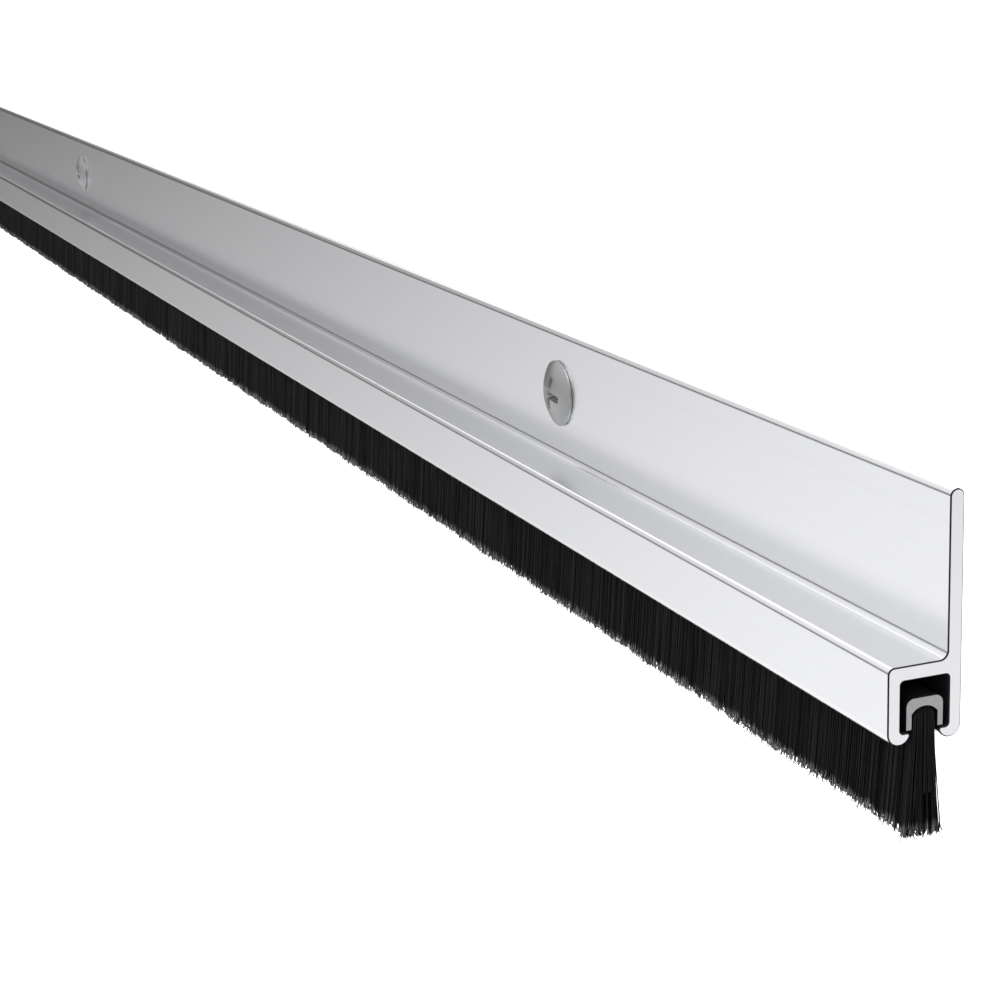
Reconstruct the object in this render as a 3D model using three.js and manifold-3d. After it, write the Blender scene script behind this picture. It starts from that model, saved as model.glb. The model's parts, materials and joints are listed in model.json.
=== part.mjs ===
// Brush door sweep: an extruded aluminium carrier, a channel-held nylon brush and three screws.
//
// Millimetres. +X runs along the bar, +Y points into the door and +Z is up. The origin lies on the
// face that meets the door, halfway along the bar, level with the top of the ledge.
import * as THREE from 'three';
import { mergeVertices } from 'three/addons/utils/BufferGeometryUtils.js';
import Module from 'manifold-3d';

// ---- driving dimensions ----

const LENGTH = 914.4; // the whole bar, 36 in
const DEPTH = 9.4; // from the door face to the front wall
const FLANGE_HEIGHT = 19.4; // the flange above the ledge
const CHANNEL_HEIGHT = 9.2; // the channel below the ledge, down to the bottom of the lips
const FLANGE_THICKNESS = 1.8;
const WALL = 1.6; // the channel's front and back walls
const LEDGE_THICKNESS = 1.75;
const LIP_RADIUS = 1.45; // the round underside of each lip
const LIP_THICKNESS = 1.35;
const LIP_TIP_RADIUS = 0.3;
const FILLET_RADIUS = 1.0; // between the ledge and the flange
const EDGE_RADIUS = 0.8; // the ledge's front edge
const HOLLOW_RADIUS = 0.45; // the corners inside the channel

const HOLDER_WIDTH = 4.76;
const HOLDER_HEIGHT = 3.7;
const HOLDER_WALL = 0.75;
const HOLDER_CORNER_RADIUS = 1.0;
const HOLDER_CROWN = 1.1; // the holder's thickness at the top of its arch
const HOLDER_ARCH_RISE = 0.8;
const HOLDER_CLEARANCE = 0.25; // between its feet and the lips

const WIRE_RADIUS = 0.5;
const WIRE_COVER = 0.4; // bristles folded over the wire
const PACK_CLEARANCE = 0.1; // round the gripped bristles
const FLEX_HEIGHT = 0.5; // the line about which the bristles bend, above the bottom of the lips
const PACK_THICKNESS = 2.8; // the bristles in the throat between the lips
const TIP_THICKNESS = 4.6; // the bristles where they have fanned out
const BRISTLE_REACH = 11.1; // below the lips
const FLEX_CLEARANCE = 0.25; // between the bristles' fixed and bending parts

const SCREW_SPACING = 349.2; // from the middle screw to each of the others
const SCREW_HEIGHT = 9.9; // the line of screws above the ledge
const SCREW_LENGTH = 19; // under the head
const THREAD_RADIUS = 2.08;
const POINT_LENGTH = 4.2;
const HEAD_RADIUS = 5.0;
const HEAD_RIM = 0.35;
const HEAD_HEIGHT = 1.85;
const HEAD_CLEARANCE = 0.05;
const RECESS_SPAN = 5.4; // across two opposite arms of the cross
const RECESS_WIDTH = 1.05;
const RECESS_DEPTH = 1.5;
const RECESS_TAPER = 0.5; // the size of the recess's floor over that of its mouth

const SLOT_WIDTH = 4.6;
const SLOT_LENGTH = 7.2;

const ARC_STEPS = 8; // straight pieces in each arc of an outline
const ROUND_SIDES = 32; // sides of a screw

// ---- places worked out from them ----

const MIDDLE = -DEPTH / 2; // the brush stands halfway between the door face and the front wall
const LIP_BOTTOM = -CHANNEL_HEIGHT;
const LIP_TOP = LIP_BOTTOM + LIP_THICKNESS;
const HOLDER_FOOT = LIP_TOP + HOLDER_CLEARANCE;
const HOLDER_TOP = HOLDER_FOOT + HOLDER_HEIGHT;
const ARCH_TOP = HOLDER_TOP - HOLDER_CROWN;
const ARCH_FOOT = ARCH_TOP - HOLDER_ARCH_RISE;
const HOLDER_INSIDE = HOLDER_WIDTH / 2 - HOLDER_WALL;
const WIRE_HEIGHT = ARCH_TOP - WIRE_COVER - WIRE_RADIUS;
const FLEX_LINE = LIP_BOTTOM + FLEX_HEIGHT;
const BRISTLE_TIP = LIP_BOTTOM - BRISTLE_REACH;
const TURN = Math.PI / 2; // a quarter turn

const wasm = await Module();
wasm.setup();

// ---- helpers ----

// A closed solid for the boolean cuts.
function solidOf(geometry) {
  const bare = geometry.clone();
  bare.deleteAttribute('normal');
  bare.deleteAttribute('uv');
  const merged = mergeVertices(bare, 1e-4);
  return new wasm.Manifold(new wasm.Mesh({
    numProp: 3,
    vertProperties: merged.attributes.position.array,
    triVerts: new Uint32Array(merged.index.array),
  }));
}

function geometryOf(solid) {
  const { vertProperties, triVerts, numProp } = solid.getMesh();
  const positions = new Float32Array((vertProperties.length / numProp) * 3);
  for (let i = 0; i < positions.length / 3; i += 1) {
    positions.set(vertProperties.subarray(i * numProp, i * numProp + 3), i * 3);
  }
  const geometry = new THREE.BufferGeometry();
  geometry.setAttribute('position', new THREE.BufferAttribute(positions, 3));
  geometry.setIndex(new THREE.BufferAttribute(new Uint32Array(triVerts), 1));
  const flat = geometry.toNonIndexed();
  flat.computeVertexNormals();
  return flat;
}

function cut(geometry, tools) {
  let solid = solidOf(geometry);
  for (const tool of tools) solid = solid.subtract(solidOf(tool));
  return geometryOf(solid);
}

// Extrudes an outline drawn in (Y, Z) along the whole bar.
function alongBar(outline) {
  const geometry = new THREE.ExtrudeGeometry(outline, {
    depth: LENGTH,
    bevelEnabled: false,
    curveSegments: ARC_STEPS,
  });
  geometry.translate(0, 0, -LENGTH / 2);
  const axes = [new THREE.Vector3(0, 1, 0), new THREE.Vector3(0, 0, 1), new THREE.Vector3(1, 0, 0)];
  geometry.applyMatrix4(new THREE.Matrix4().makeBasis(...axes));
  return geometry;
}

// ---- carrier extrusion ----

// Where a lip's small tip arc meets its large outer arc, below the horizontal.
function lipTip() {
  const reach = LIP_RADIUS - LIP_TIP_RADIUS;
  const drop = LIP_BOTTOM + LIP_RADIUS - (LIP_TOP - LIP_TIP_RADIUS);
  return { angle: Math.asin(drop / reach), across: Math.sqrt(reach ** 2 - drop ** 2) };
}

// From the door face up and over the flange, along the ledge, round the front lip, through the hollow
// and round the back lip.
function carrierOutline() {
  const lipCentre = LIP_BOTTOM + LIP_RADIUS;
  const tipCentre = LIP_TOP - LIP_TIP_RADIUS;
  const tip = lipTip();
  const frontLip = -DEPTH + LIP_RADIUS;
  const hollow = {
    front: -DEPTH + WALL + HOLLOW_RADIUS,
    back: -WALL - HOLLOW_RADIUS,
    top: -LEDGE_THICKNESS - HOLLOW_RADIUS,
    bottom: LIP_TOP + HOLLOW_RADIUS,
  };
  const outline = new THREE.Shape();
  outline.moveTo(0, lipCentre);
  outline.absarc(-FLANGE_THICKNESS / 2, FLANGE_HEIGHT - FLANGE_THICKNESS / 2, FLANGE_THICKNESS / 2,
    0, 2 * TURN, false);
  outline.absarc(-FLANGE_THICKNESS - FILLET_RADIUS, FILLET_RADIUS, FILLET_RADIUS, 0, -TURN, true);
  outline.absarc(-DEPTH + EDGE_RADIUS, -EDGE_RADIUS, EDGE_RADIUS, TURN, 2 * TURN, false);
  outline.absarc(frontLip, lipCentre, LIP_RADIUS, 2 * TURN, 4 * TURN - tip.angle, false);
  outline.absarc(frontLip + tip.across, tipCentre, LIP_TIP_RADIUS, -tip.angle, TURN, false);
  outline.absarc(hollow.front, hollow.bottom, HOLLOW_RADIUS, -TURN, -2 * TURN, true);
  outline.absarc(hollow.front, hollow.top, HOLLOW_RADIUS, 2 * TURN, TURN, true);
  outline.absarc(hollow.back, hollow.top, HOLLOW_RADIUS, TURN, 0, true);
  outline.absarc(hollow.back, hollow.bottom, HOLLOW_RADIUS, 0, -TURN, true);
  outline.absarc(-LIP_RADIUS - tip.across, tipCentre, LIP_TIP_RADIUS, TURN, 2 * TURN + tip.angle, false);
  outline.absarc(-LIP_RADIUS, lipCentre, LIP_RADIUS, 2 * TURN + tip.angle, 4 * TURN, false);
  return outline;
}

// An upright slot through the flange, so that the sweep can be set to the floor before the screws are
// tightened.
function screwSlot(x) {
  const halfStraight = (SLOT_LENGTH - SLOT_WIDTH) / 2;
  const outline = new THREE.Shape();
  outline.absarc(0, halfStraight, SLOT_WIDTH / 2, 0, 2 * TURN, false);
  outline.absarc(0, -halfStraight, SLOT_WIDTH / 2, 2 * TURN, 4 * TURN, false);
  outline.closePath();
  const slot = new THREE.ExtrudeGeometry(outline, {
    depth: 3 * FLANGE_THICKNESS,
    bevelEnabled: false,
    curveSegments: ARC_STEPS,
  });
  slot.rotateX(TURN);
  slot.translate(x, FLANGE_THICKNESS, SCREW_HEIGHT);
  return slot;
}

function carrierGeometry() {
  const slots = [-SCREW_SPACING, 0, SCREW_SPACING].map(screwSlot);
  return cut(alongBar(carrierOutline()), slots);
}

// ---- brush insert ----

// The arch under the holder's crown is one arc through both springing points.
function archRadius(halfSpan, rise) {
  return (halfSpan ** 2 + rise ** 2) / (2 * rise);
}

function holderOutline() {
  const half = HOLDER_WIDTH / 2;
  const round = HOLDER_CORNER_RADIUS;
  const arch = archRadius(HOLDER_INSIDE, HOLDER_ARCH_RISE);
  const spring = Math.acos(HOLDER_INSIDE / arch);
  const outline = new THREE.Shape();
  outline.moveTo(half, HOLDER_FOOT);
  outline.lineTo(half, HOLDER_TOP - round);
  outline.absarc(half - round, HOLDER_TOP - round, round, 0, TURN, false);
  outline.absarc(round - half, HOLDER_TOP - round, round, TURN, 2 * TURN, false);
  outline.lineTo(-half, HOLDER_FOOT);
  outline.lineTo(-HOLDER_INSIDE, HOLDER_FOOT);
  outline.absarc(0, ARCH_TOP - arch, arch, 2 * TURN - spring, spring, true);
  outline.lineTo(HOLDER_INSIDE, HOLDER_FOOT);
  outline.closePath();
  return outline;
}

// The gripped bristles fill the arch, wrap the core wire, and end in a hollow round the part that bends.
function rootsOutline() {
  const half = HOLDER_INSIDE - PACK_CLEARANCE;
  const rise = HOLDER_ARCH_RISE;
  const arch = archRadius(half, rise);
  const spring = Math.acos(half / arch);
  const socket = PACK_THICKNESS / 2 + FLEX_CLEARANCE;
  const rim = Math.acos(half / socket);
  const outline = new THREE.Shape();
  outline.absarc(0, ARCH_TOP - PACK_CLEARANCE - arch, arch, spring, 2 * TURN - spring, false);
  outline.absarc(0, FLEX_LINE, socket, 2 * TURN - rim, rim, true);
  outline.closePath();
  const wireHole = new THREE.Path();
  wireHole.absarc(0, WIRE_HEIGHT, WIRE_RADIUS + PACK_CLEARANCE, 0, 4 * TURN, true);
  outline.holes.push(wireHole);
  return outline;
}

function wireOutline() {
  const outline = new THREE.Shape();
  outline.absarc(0, WIRE_HEIGHT, WIRE_RADIUS, 0, 4 * TURN, false);
  return outline;
}

// The free bristles, round on top about the line where they bend, and fanned out at their tips.
function curtainOutline() {
  const outline = new THREE.Shape();
  outline.absarc(0, FLEX_LINE, PACK_THICKNESS / 2, 0, 2 * TURN, false);
  outline.lineTo(-TIP_THICKNESS / 2, BRISTLE_TIP);
  outline.lineTo(TIP_THICKNESS / 2, BRISTLE_TIP);
  outline.closePath();
  return outline;
}

// ---- screws ----

// One arm of the cross, narrower at its floor, along the lathe's own axis.
function recessArm(turn) {
  const arm = new THREE.BoxGeometry(RECESS_SPAN, 2 * RECESS_DEPTH, RECESS_WIDTH);
  const corners = arm.attributes.position;
  for (let i = 0; i < corners.count; i += 1) {
    if (corners.getY(i) < 0) {
      const narrower = 2 * RECESS_TAPER - 1;
      corners.setX(i, corners.getX(i) * Math.max(narrower, 0.2));
      corners.setZ(i, corners.getZ(i) * RECESS_TAPER);
    }
  }
  arm.translate(0, HEAD_HEIGHT, 0);
  arm.rotateY(turn);
  return arm;
}

// The head rises along +Y from the face that it clamps, and the shank hangs below that face.
function screwProfile() {
  const rise = HEAD_HEIGHT - HEAD_RIM;
  const dome = archRadius(HEAD_RADIUS, rise);
  const edge = Math.acos(HEAD_RADIUS / dome);
  const points = [
    new THREE.Vector2(0, -SCREW_LENGTH),
    new THREE.Vector2(THREAD_RADIUS, -SCREW_LENGTH + POINT_LENGTH),
    new THREE.Vector2(THREAD_RADIUS, 0),
    new THREE.Vector2(HEAD_RADIUS, 0),
  ];
  for (let step = 0; step <= ARC_STEPS; step += 1) {
    const angle = edge + (TURN - edge) * (step / ARC_STEPS);
    const across = step === ARC_STEPS ? 0 : dome * Math.cos(angle);
    points.push(new THREE.Vector2(across, HEAD_HEIGHT - dome + dome * Math.sin(angle)));
  }
  return points;
}

function screwGeometry() {
  const turned = new THREE.LatheGeometry(screwProfile(), ROUND_SIDES);
  const screw = cut(turned, [recessArm(0), recessArm(TURN)]);
  screw.rotateX(2 * TURN);
  return screw;
}

// ---- materials ----

const anodised = { color: 0xdcdce2, roughness: 0.42, metalness: 0.85 };
const galvanised = { color: 0x96969a, roughness: 0.5, metalness: 0.8 };
const bareWire = { color: 0x8a8a8c, roughness: 0.45, metalness: 0.9 };
const nylon = { color: 0x151516, roughness: 0.7, metalness: 0.0 };
const zincPlate = { color: 0xb9bbc0, roughness: 0.3, metalness: 0.95 };

function piece(name, geometry, look) {
  const mesh = new THREE.Mesh(geometry, new THREE.MeshStandardMaterial(look));
  mesh.name = name;
  return mesh;
}

// ---- assembly ----

const sweep = new THREE.Group();
sweep.add(piece('carrier_extrusion', carrierGeometry(), anodised));

const brush = new THREE.Group();
brush.position.set(0, MIDDLE, 0);
brush.add(piece('brush_holder', alongBar(holderOutline()), galvanised));
brush.add(piece('core_wire', alongBar(wireOutline()), bareWire));
brush.add(piece('bristle_roots', alongBar(rootsOutline()), nylon));
brush.add(piece('bristle_curtain', alongBar(curtainOutline()), nylon));
sweep.add(brush);

const screws = { screw_left: -SCREW_SPACING, screw_centre: 0, screw_right: SCREW_SPACING };
for (const [name, x] of Object.entries(screws)) {
  const screw = piece(name, screwGeometry(), zincPlate);
  screw.position.set(x, -FLANGE_THICKNESS - HEAD_CLEARANCE, SCREW_HEIGHT);
  sweep.add(screw);
}

export default sweep;
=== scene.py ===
"""Brush door sweep: an aluminium carrier, a brush held in its channel and three cross-recess screws.

Run in Blender, the script loads the fixed frame, makes each piece with its own operator, sets up a
small studio and hands the scene back. Lengths are in metres, +X runs along the bar, +Y points into
the door and +Z is up. The origin lies on the door face, halfway along, level with the ledge.
"""
import json
import math

import bmesh
import bpy
import numpy as np
from mathutils import Matrix, Vector


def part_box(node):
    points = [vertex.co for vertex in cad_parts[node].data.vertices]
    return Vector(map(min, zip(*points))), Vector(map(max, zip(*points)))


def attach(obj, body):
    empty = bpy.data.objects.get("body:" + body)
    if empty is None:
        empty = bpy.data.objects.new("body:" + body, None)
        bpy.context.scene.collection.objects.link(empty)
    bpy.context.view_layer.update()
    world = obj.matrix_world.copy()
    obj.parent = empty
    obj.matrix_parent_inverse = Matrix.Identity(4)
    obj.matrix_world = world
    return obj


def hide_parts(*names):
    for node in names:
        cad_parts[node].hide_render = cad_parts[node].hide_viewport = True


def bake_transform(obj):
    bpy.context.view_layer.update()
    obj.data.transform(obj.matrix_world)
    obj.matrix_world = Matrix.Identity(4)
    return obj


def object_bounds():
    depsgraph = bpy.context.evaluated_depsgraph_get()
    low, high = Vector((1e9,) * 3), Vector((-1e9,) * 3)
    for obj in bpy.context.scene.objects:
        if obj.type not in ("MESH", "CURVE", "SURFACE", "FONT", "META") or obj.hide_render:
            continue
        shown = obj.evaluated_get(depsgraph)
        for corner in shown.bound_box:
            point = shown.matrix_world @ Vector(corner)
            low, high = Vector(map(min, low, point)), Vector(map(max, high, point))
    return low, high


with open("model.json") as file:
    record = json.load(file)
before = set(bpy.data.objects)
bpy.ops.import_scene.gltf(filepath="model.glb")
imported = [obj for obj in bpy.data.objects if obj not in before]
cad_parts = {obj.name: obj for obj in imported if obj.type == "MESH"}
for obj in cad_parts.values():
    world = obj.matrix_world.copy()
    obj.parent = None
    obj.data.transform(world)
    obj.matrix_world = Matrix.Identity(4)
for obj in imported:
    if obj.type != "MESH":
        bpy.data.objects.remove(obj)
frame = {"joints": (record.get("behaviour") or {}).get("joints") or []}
CAD_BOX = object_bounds()

bl_info = {
    "name": "Brush Door Sweep",
    "version": (1, 0, 0),
    "blender": (4, 5, 0),
    "location": "3D View > Sidebar > Sweep",
    "description": "Makes a brush door sweep from its fixed frame, piece by piece",
    "category": "Object",
}

MM = 0.001
QUARTER = math.pi / 2

# ---- sizes read from the frame ----

CARRIER_LOW, CARRIER_HIGH = (Vector(corner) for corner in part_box("carrier_extrusion"))
HOLDER_LOW, HOLDER_HIGH = (Vector(corner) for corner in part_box("brush_holder"))
WIRE_LOW, WIRE_HIGH = (Vector(corner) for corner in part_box("core_wire"))
CURTAIN_LOW, CURTAIN_HIGH = (Vector(corner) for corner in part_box("bristle_curtain"))
HALF_LENGTH = CARRIER_HIGH.x
DEPTH = -CARRIER_LOW.y
FLANGE_TOP = CARRIER_HIGH.z
LIP_BOTTOM = CARRIER_LOW.z
MIDDLE = (HOLDER_LOW.y + HOLDER_HIGH.y) / 2
SCREW_NAMES = ("screw_left", "screw_centre", "screw_right")
FLEX_LINE = next(joint for joint in frame["joints"] if joint["name"] == "bristle_flex")["pos_m"][2]

# ---- the brush: how its filaments lie ----

ROOT_TOP = FLEX_LINE + 1.6 * MM  # where the long filaments start, above the lips
INNER_REACH = 2.6 * MM  # how far above the cut the short filaments start
STRAY = 0.4 * MM  # how far a filament may reach past the cut
LOOSE_END = 4 * MM  # how much of the bar's end has loose filaments
TUFT_LENGTH = 1.4 * MM  # the dense tuft at each end of the bar
TUFT_PITCH = 0.11 * MM
OUTER_STATIONS = (0, 0.3, 0.65, 0.935, 0.97, 1)  # shares of a filament's length
INNER_STATIONS = (0, 0.7, 1)

# ---- the screws: a domed head and a rolled thread that ends in a point ----

HEAD_HEIGHT = 1.85 * MM
HEAD_RIM = 0.35 * MM
HEAD_BEVEL = 0.08 * MM
THREAD_RADIUS = 2.08 * MM
ROOT_RADIUS = 1.45 * MM
RUN_IN = 1.2 * MM  # where the thread rises to its full height under the head
POINT_LENGTH = 4.2 * MM
RECESS_DEPTH = 1.5 * MM


class SweepSizes(bpy.types.PropertyGroup):
    """Sizes that the fixed frame leaves open."""

    flange: bpy.props.FloatProperty(
        name="Flange", description="Thickness of the mounting flange", default=1.8 * MM,
        unit="LENGTH")
    wall: bpy.props.FloatProperty(
        name="Wall", description="Thickness of the channel's walls", default=1.6 * MM, unit="LENGTH")
    ledge: bpy.props.FloatProperty(
        name="Ledge", description="Thickness of the ledge", default=1.75 * MM, unit="LENGTH")
    lip_radius: bpy.props.FloatProperty(
        name="Lip radius", description="Round underside of each lip", default=1.45 * MM,
        unit="LENGTH")
    lip: bpy.props.FloatProperty(
        name="Lip", description="Thickness of each lip", default=1.35 * MM, unit="LENGTH")
    fillet: bpy.props.FloatProperty(
        name="Fillet", description="Radius between ledge and flange", default=1.0 * MM,
        unit="LENGTH")
    edge: bpy.props.FloatProperty(
        name="Ledge edge", description="Radius of the ledge's front edge", default=0.8 * MM,
        unit="LENGTH")
    saw_edge: bpy.props.FloatProperty(
        name="Sawn edge", description="Chamfer left by deburring the sawn ends", default=0.1 * MM,
        unit="LENGTH")
    slot_width: bpy.props.FloatProperty(
        name="Slot width", description="Width of the screw slots", default=4.6 * MM, unit="LENGTH")
    slot_length: bpy.props.FloatProperty(
        name="Slot length", description="Height of the screw slots", default=7.2 * MM,
        unit="LENGTH")
    holder_wall: bpy.props.FloatProperty(
        name="Holder wall", description="Thickness of the brush holder's legs",
        default=0.75 * MM, unit="LENGTH")
    holder_crown: bpy.props.FloatProperty(
        name="Holder crown", description="Thickness of the holder over its arch",
        default=1.1 * MM, unit="LENGTH")
    arch_rise: bpy.props.FloatProperty(
        name="Arch rise", description="Rise of the arch inside the holder", default=0.8 * MM,
        unit="LENGTH")
    pack: bpy.props.FloatProperty(
        name="Pack", description="Thickness of the bristles in the throat", default=2.8 * MM,
        unit="LENGTH")
    fan: bpy.props.FloatProperty(
        name="Fan", description="Thickness of the bristles at their tips", default=4.8 * MM,
        unit="LENGTH")
    filament: bpy.props.FloatProperty(
        name="Filament", description="Thickness of one filament", default=0.1548 * MM, unit="LENGTH")
    outer_pitch: bpy.props.FloatProperty(
        name="Outer pitch", description="Distance between filaments along an outer row",
        default=0.1824 * MM, unit="LENGTH")
    inner_pitch: bpy.props.FloatProperty(
        name="Inner pitch", description="Distance between filaments along an inner row",
        default=0.4 * MM, unit="LENGTH")
    ragged: bpy.props.FloatProperty(
        name="Ragged tips", description="How unevenly the filaments are cut", default=0.45 * MM,
        unit="LENGTH")
    thread_pitch: bpy.props.FloatProperty(
        name="Thread pitch", description="Distance between turns of the thread",
        default=1.6 * MM, unit="LENGTH")
    recess_span: bpy.props.FloatProperty(
        name="Recess span", description="Across two opposite arms of the cross recess",
        default=5.4 * MM, unit="LENGTH")


class SweepFinishes(bpy.types.PropertyGroup):
    """Colours of the finishes, with painted shade for the channel's inside and the holder's sides.
    """

    aluminium: bpy.props.FloatVectorProperty(
        name="Anodised aluminium", description="Clear anodised skin", subtype="COLOR", size=3,
        default=(0.86, 0.865, 0.885), min=0, max=1)
    sawn: bpy.props.FloatVectorProperty(
        name="Sawn aluminium", description="Bare metal of the sawn ends", subtype="COLOR", size=3,
        default=(0.955, 0.955, 0.985), min=0, max=1)
    # Painted shade: a near-black that stands in for the shadow inside the channel, not the metal's
    # own colour.
    channel: bpy.props.FloatVectorProperty(
        name="Channel inside", description="Dark inside of the channel", subtype="COLOR", size=3,
        default=(0.004, 0.004, 0.004), min=0, max=1)
    holder: bpy.props.FloatVectorProperty(
        name="Brush holder", description="Bare cut end of the brush holder", subtype="COLOR",
        size=3, default=(0.4, 0.4, 0.405), min=0, max=1)
    # Painted shade: the holder's sides are painted near-black to stand in for the shadow inside the
    # channel.
    holder_painted_shade: bpy.props.FloatVectorProperty(
        name="Holder skin", description="Dull coating of the brush holder", subtype="COLOR",
        size=3, default=(0.007, 0.007, 0.0075), min=0, max=1)
    wire: bpy.props.FloatVectorProperty(
        name="Core wire", description="Drawn steel wire", subtype="COLOR", size=3,
        default=(0.36, 0.36, 0.37), min=0, max=1)
    nylon: bpy.props.FloatVectorProperty(
        name="Nylon", description="Body of the bristles", subtype="COLOR", size=3,
        default=(0.004, 0.004, 0.0042), min=0, max=1)
    nylon_tip: bpy.props.FloatVectorProperty(
        name="Nylon tips", description="Cut ends of the bristles", subtype="COLOR", size=3,
        default=(0.36, 0.36, 0.365), min=0, max=1)
    zinc: bpy.props.FloatVectorProperty(
        name="Screw plating", description="Bright zinc plate", subtype="COLOR", size=3,
        default=(0.5, 0.505, 0.51), min=0, max=1)


class SweepStudio(bpy.types.PropertyGroup):
    """Camera, floor and light."""

    lens: bpy.props.FloatProperty(
        name="Lens", description="Focal length on a 36 mm sensor, in millimetres", default=82.1)
    azimuth: bpy.props.FloatProperty(
        name="Azimuth", description="Turn of the camera round the object", subtype="ANGLE",
        default=math.radians(68.654))
    elevation: bpy.props.FloatProperty(
        name="Elevation", description="Height of the camera's line of sight", subtype="ANGLE",
        default=math.radians(14.784))
    roll: bpy.props.FloatProperty(
        name="Roll", description="Turn of the camera about its line of sight", subtype="ANGLE",
        default=math.radians(-1.983))
    place: bpy.props.FloatVectorProperty(
        name="Place", description="Camera position from the near end's top ledge corner",
        subtype="TRANSLATION", unit="LENGTH", size=3, default=(0.2047, -0.1343, 0.0830))
    floor_drop: bpy.props.FloatProperty(
        name="Floor drop", description="Gap between the bristle tips and the floor",
        default=0.12, unit="LENGTH")
    sky: bpy.props.FloatProperty(
        name="Sky", description="Strength of the studio's soft light", default=1.22)
    key: bpy.props.FloatProperty(
        name="Key light", description="Power of the overhead softbox in watts", default=1.2)


# ---- shader recipes ----

class Value:
    """A socket in an expression: arithmetic on values adds the Math nodes that work it out."""

    def __init__(self, recipe, socket):
        self.recipe = recipe
        self.socket = socket

    def _math(self, operation, *operands):
        node = self.recipe.node("ShaderNodeMath", {"operation": operation},
                                dict(enumerate(operands)))
        return node[0]

    def __add__(self, other):
        return self._math("ADD", self, other)

    def __radd__(self, other):
        return self._math("ADD", other, self)

    def __sub__(self, other):
        return self._math("SUBTRACT", self, other)

    def __rsub__(self, other):
        return self._math("SUBTRACT", other, self)

    def __mul__(self, other):
        return self._math("MULTIPLY", self, other)

    def __rmul__(self, other):
        return self._math("MULTIPLY", other, self)

    def __truediv__(self, other):
        return self._math("DIVIDE", self, other)

    def __pow__(self, other):
        return self._math("POWER", self, other)

    def __abs__(self):
        return self._math("ABSOLUTE", self)

    def over(self, limit):
        """1 where this is more than limit, else 0."""
        return self._math("GREATER_THAN", self, limit)

    def under(self, limit):
        """1 where this is less than limit, else 0."""
        return self._math("LESS_THAN", self, limit)


class Node:
    """A shader node whose outputs are taken by name or number as values."""

    def __init__(self, recipe, node):
        self.recipe = recipe
        self.node = node

    def __getitem__(self, key):
        return Value(self.recipe, self.node.outputs[key])


class Recipe:
    """Builds one node tree."""

    def __init__(self, tree):
        self.tree = tree
        tree.nodes.clear()

    def node(self, kind, settings=None, sockets=None):
        """Adds a node, sets it up, then gives its sockets values or links."""
        node = self.tree.nodes.new(kind)
        for name, setting in (settings or {}).items():
            if name == "stops":
                self._stops(node, setting)
            else:
                setattr(node, name, setting)
        for name, value in (sockets or {}).items():
            if isinstance(value, Value):
                self.tree.links.new(value.socket, node.inputs[name])
            else:
                node.inputs[name].default_value = value
        return Node(self, node)

    @staticmethod
    def _stops(node, stops):
        ramp = node.color_ramp
        while len(ramp.elements) < len(stops):
            ramp.elements.new(1.0)
        for element, (place, level) in zip(ramp.elements, stops):
            element.position = place
            element.color = (level, level, level, 1)

    def mix(self, factor, first, second):
        """A colour part way from first to second."""
        node = self.node("ShaderNodeMix", {"data_type": "RGBA"},
                         {0: factor, 6: opaque(first), 7: opaque(second)})
        return node[2]

    def object_place(self):
        """The surface point's place, as three values."""
        place = self.node("ShaderNodeTexCoord")["Object"]
        parts = self.node("ShaderNodeSeparateXYZ", None, {0: place})
        return place, parts[0], parts[1], parts[2]

    def stretched(self, place, scale):
        """The place scaled by a different amount along each axis."""
        return self.node("ShaderNodeMapping", None, {"Vector": place, "Scale": scale})[0]

    def noise(self, place, scale, detail=2.0, roughness=0.5):
        return self.node("ShaderNodeTexNoise", None,
                         {"Vector": place, "Scale": scale, "Detail": detail,
                          "Roughness": roughness})[0]

    def ramp(self, value, *stops):
        return self.node("ShaderNodeValToRGB", {"stops": stops}, {0: value})[0]

    def bump(self, height, distance, strength=1.0):
        return self.node("ShaderNodeBump", None,
                         {"Height": height, "Distance": distance, "Strength": strength})[0]

    def surface(self, **sockets):
        """The main shader and the output."""
        named = {name.replace("_", " "): value for name, value in sockets.items()}
        shader = self.node("ShaderNodeBsdfPrincipled", None, named)
        self.node("ShaderNodeOutputMaterial", None, {"Surface": shader["BSDF"]})


def opaque(colour):
    """A colour with the alpha that shader sockets want; a linked value is left alone."""
    return colour if isinstance(colour, Value) else (*tuple(colour)[:3], 1.0)


def new_material(name):
    material = bpy.data.materials.new(name)
    material.use_nodes = True
    return material, Recipe(material.node_tree)


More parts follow.
